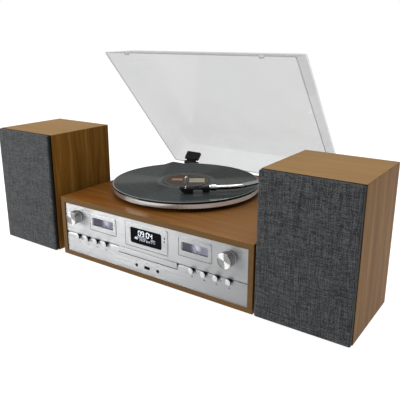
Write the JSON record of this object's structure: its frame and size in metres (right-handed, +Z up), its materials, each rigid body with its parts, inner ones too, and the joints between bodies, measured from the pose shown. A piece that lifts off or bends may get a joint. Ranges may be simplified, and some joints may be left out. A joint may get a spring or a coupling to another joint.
{
  "type": "record player with loudspeakers",
  "caption": "Wooden hi-fi set: turntable with bent tonearm under an open clear cover, front panel with display, meters, knobs, keys and disc tray, and a pair of cloth-fronted loudspeakers.",
  "frame": {"origin": "on the table under the middle of the whole set's box", "axes": "+X from the left loudspeaker to the right one, +Y from the front panel to the back, +Z up"},
  "size_m": [0.7779, 0.4198, 0.4016],
  "materials": {
    "walnut_veneer": "satin oiled veneer",
    "brushed_panel": "brushed along the panel",
    "bright_trim": "satin",
    "display_black": "gloss, lit digits behind",
    "meter_lens": "clear",
    "meter_dial": "lit from behind",
    "needle_red": "matt",
    "socket_black": "matt",
    "board_green": "matt",
    "mechanism_grey": "matt",
    "tray_grey": "satin",
    "rubber_black": "matt",
    "bearing_steel": "ground",
    "platter_alloy": "polished rim",
    "pulley_brass": "turned",
    "vinyl_black": "grooved gloss",
    "arm_chrome": "polished",
    "arm_metal": "satin",
    "shell_black": "satin",
    "weight_steel": "dark satin",
    "clear_acrylic": "clear",
    "hinge_black": "satin",
    "grille_cloth": "woven, charcoal flecked with grey",
    "driver_black": "matt"
  },
  "bodies": {
    "cabinet": {"case_boards": "walnut_veneer", "case_feet": "rubber_black", "rear_panel": "socket_black", "upper_fascia": "brushed_panel", "lower_fascia": "brushed_panel", "display_bezel": "bright_trim", "display_window": "display_black", "meter_bezels": "bright_trim", "meter_lenses": "meter_lens", "meter_dials": "meter_dial", "front_sockets": "socket_black", "circuit_boards": "board_green", "disc_mechanism": "mechanism_grey", "rear_sockets": "socket_black", "platter_bearing": "bearing_steel", "motor": "bearing_steel", "drive_belt": "rubber_black", "arm_base": "shell_black", "arm_rest": "shell_black", "hinge_brackets": "hinge_black", "single_adapter": "shell_black"},
    "lid": {"dust_cover": "clear_acrylic", "lid_hinges": "hinge_black"},
    "turntable": {"platter": "platter_alloy", "platter_mat": "rubber_black", "spindle": "bearing_steel", "record": "vinyl_black"},
    "pulley": {"motor_pulley": "pulley_brass"},
    "yoke": {"arm_yoke": "arm_metal"},
    "tonearm": {"arm_tube": "arm_chrome", "headshell": "shell_black", "cartridge": "shell_black"},
    "weight": {"counterweight": "weight_steel"},
    "cueing": {"cue_lever": "arm_metal"},
    "lifter": {"arm_lifter": "shell_black"},
    "tray": {"disc_tray": "tray_grey"},
    "tuning_knob": {"left_knob": "bright_trim"},
    "volume_knob": {"right_knob": "bright_trim"},
    "button_1": {"key_1": "bright_trim"},
    "button_2": {"key_2": "bright_trim"},
    "button_3": {"key_3": "bright_trim"},
    "button_4": {"key_4": "bright_trim"},
    "button_5": {"key_5": "bright_trim"},
    "button_6": {"key_6": "bright_trim"},
    "button_7": {"key_7": "bright_trim"},
    "button_8": {"key_8": "bright_trim"},
    "left_pointer": {"left_needle": "needle_red"},
    "right_pointer": {"right_needle": "needle_red"},
    "power_switch": {"power_rocker": "socket_black"},
    "speed_switch": {"speed_lever": "arm_metal"},
    "left_speaker": {"left_speaker_box": "walnut_veneer", "left_grille": "grille_cloth", "left_drivers": "driver_black", "left_terminals": "socket_black", "left_speaker_pads": "rubber_black"},
    "right_speaker": {"right_speaker_box": "walnut_veneer", "right_grille": "grille_cloth", "right_drivers": "driver_black", "right_terminals": "socket_black", "right_speaker_pads": "rubber_black"}
  },
  "joints": [
    {"name": "lid_hinge", "type": "hinge", "parent": "cabinet", "child": "lid", "pos_m": [0.0075, 0.1715, 0.129], "axis": [1, 0, 0], "range_deg": [0, 49.3]},
    {"name": "platter_spin", "type": "hinge", "parent": "cabinet", "child": "turntable", "pos_m": [-0.0338, -0.015, 0.131], "axis": [0, 0, 1], "continuous": true},
    {"name": "pulley_spin", "type": "hinge", "parent": "cabinet", "child": "pulley", "pos_m": [-0.1196, 0.05699, 0.133], "axis": [0, 0, 1], "continuous": true},
    {"name": "arm_swing", "type": "hinge", "parent": "cabinet", "child": "yoke", "pos_m": [0.1335, 0.102, 0.1545], "axis": [0, 0, 1], "range_deg": [-8, 28]},
    {"name": "arm_raise", "type": "hinge", "parent": "yoke", "child": "tonearm", "pos_m": [0.1335, 0.102, 0.1545], "axis": [-0.9588, 0.284, 0], "range_deg": [0, 3.5]},
    {"name": "weight_turn", "type": "hinge", "parent": "tonearm", "child": "weight", "pos_m": [0.1335, 0.102, 0.1545], "axis": [-0.284, -0.9588, 0], "range_deg": [-170, 170]},
    {"name": "cue_turn", "type": "hinge", "parent": "cabinet", "child": "cueing", "pos_m": [0.1605, 0.068, 0.138], "axis": [-1, 0, 0], "range_deg": [0, 60]},
    {"name": "lift_slide", "type": "slide", "parent": "cabinet", "child": "lifter", "axis": [0, 0, 1], "range_m": [0, 0.0034]},
    {"name": "tray_slide", "type": "slide", "parent": "cabinet", "child": "tray", "axis": [0, -1, 0], "range_m": [0, 0.13]},
    {"name": "tuning_turn", "type": "hinge", "parent": "cabinet", "child": "tuning_knob", "pos_m": [-0.168, -0.1955, 0.09048], "axis": [0, 1, 0], "continuous": true},
    {"name": "volume_turn", "type": "hinge", "parent": "cabinet", "child": "volume_knob", "pos_m": [0.183, -0.1955, 0.09048], "axis": [0, 1, 0], "range_deg": [-150, 150]},
    {"name": "button_1_press", "type": "slide", "parent": "cabinet", "child": "button_1", "axis": [0, 1, 0], "range_m": [0, 0.0015], "stiffness_N_per_m": 400},
    {"name": "button_2_press", "type": "slide", "parent": "cabinet", "child": "button_2", "axis": [0, 1, 0], "range_m": [0, 0.0015], "stiffness_N_per_m": 400},
    {"name": "button_3_press", "type": "slide", "parent": "cabinet", "child": "button_3", "axis": [0, 1, 0], "range_m": [0, 0.0015], "stiffness_N_per_m": 400},
    {"name": "button_4_press", "type": "slide", "parent": "cabinet", "child": "button_4", "axis": [0, 1, 0], "range_m": [0, 0.0015], "stiffness_N_per_m": 400},
    {"name": "button_5_press", "type": "slide", "parent": "cabinet", "child": "button_5", "axis": [0, 1, 0], "range_m": [0, 0.0015], "stiffness_N_per_m": 400},
    {"name": "button_6_press", "type": "slide", "parent": "cabinet", "child": "button_6", "axis": [0, 1, 0], "range_m": [0, 0.0015], "stiffness_N_per_m": 400},
    {"name": "button_7_press", "type": "slide", "parent": "cabinet", "child": "button_7", "axis": [0, 1, 0], "range_m": [0, 0.0015], "stiffness_N_per_m": 400},
    {"name": "button_8_press", "type": "slide", "parent": "cabinet", "child": "button_8", "axis": [0, 1, 0], "range_m": [0, 0.0015], "stiffness_N_per_m": 400},
    {"name": "left_pointer_swing", "type": "hinge", "parent": "cabinet", "child": "left_pointer", "pos_m": [-0.09951, -0.187, 0.07951], "axis": [0, 1, 0], "range_deg": [0, 70], "stiffness_Nm_per_rad": 0.0005},
    {"name": "right_pointer_swing", "type": "hinge", "parent": "cabinet", "child": "right_pointer", "pos_m": [0.11451, -0.187, 0.07951], "axis": [0, 1, 0], "range_deg": [0, 70], "stiffness_Nm_per_rad": 0.0005},
    {"name": "power_tilt", "type": "hinge", "parent": "cabinet", "child": "power_switch", "pos_m": [0.1125, 0.1642, 0.041], "axis": [-1, 0, 0], "range_deg": [0, 16]},
    {"name": "speed_turn", "type": "hinge", "parent": "cabinet", "child": "speed_switch", "pos_m": [0.1935, -0.0535, 0.124], "axis": [0, 0, 1], "range_deg": [0, 40]},
    {"name": "left_speaker_move", "type": "slide", "parent": "cabinet", "child": "left_speaker", "axis": [-1, 0, 0], "range_m": [0, 0.25]},
    {"name": "right_speaker_move", "type": "slide", "parent": "cabinet", "child": "right_speaker", "axis": [1, 0, 0], "range_m": [0, 0.25]}
  ],
  "couplings": [
    {"joint": "pulley_spin", "follows": "platter_spin", "ratio": 15},
    {"joint": "arm_raise", "follows": "cue_turn", "ratio": 0.0583},
    {"joint": "lift_slide", "follows": "cue_turn", "m_per_rad": 0.003246}
  ]
}
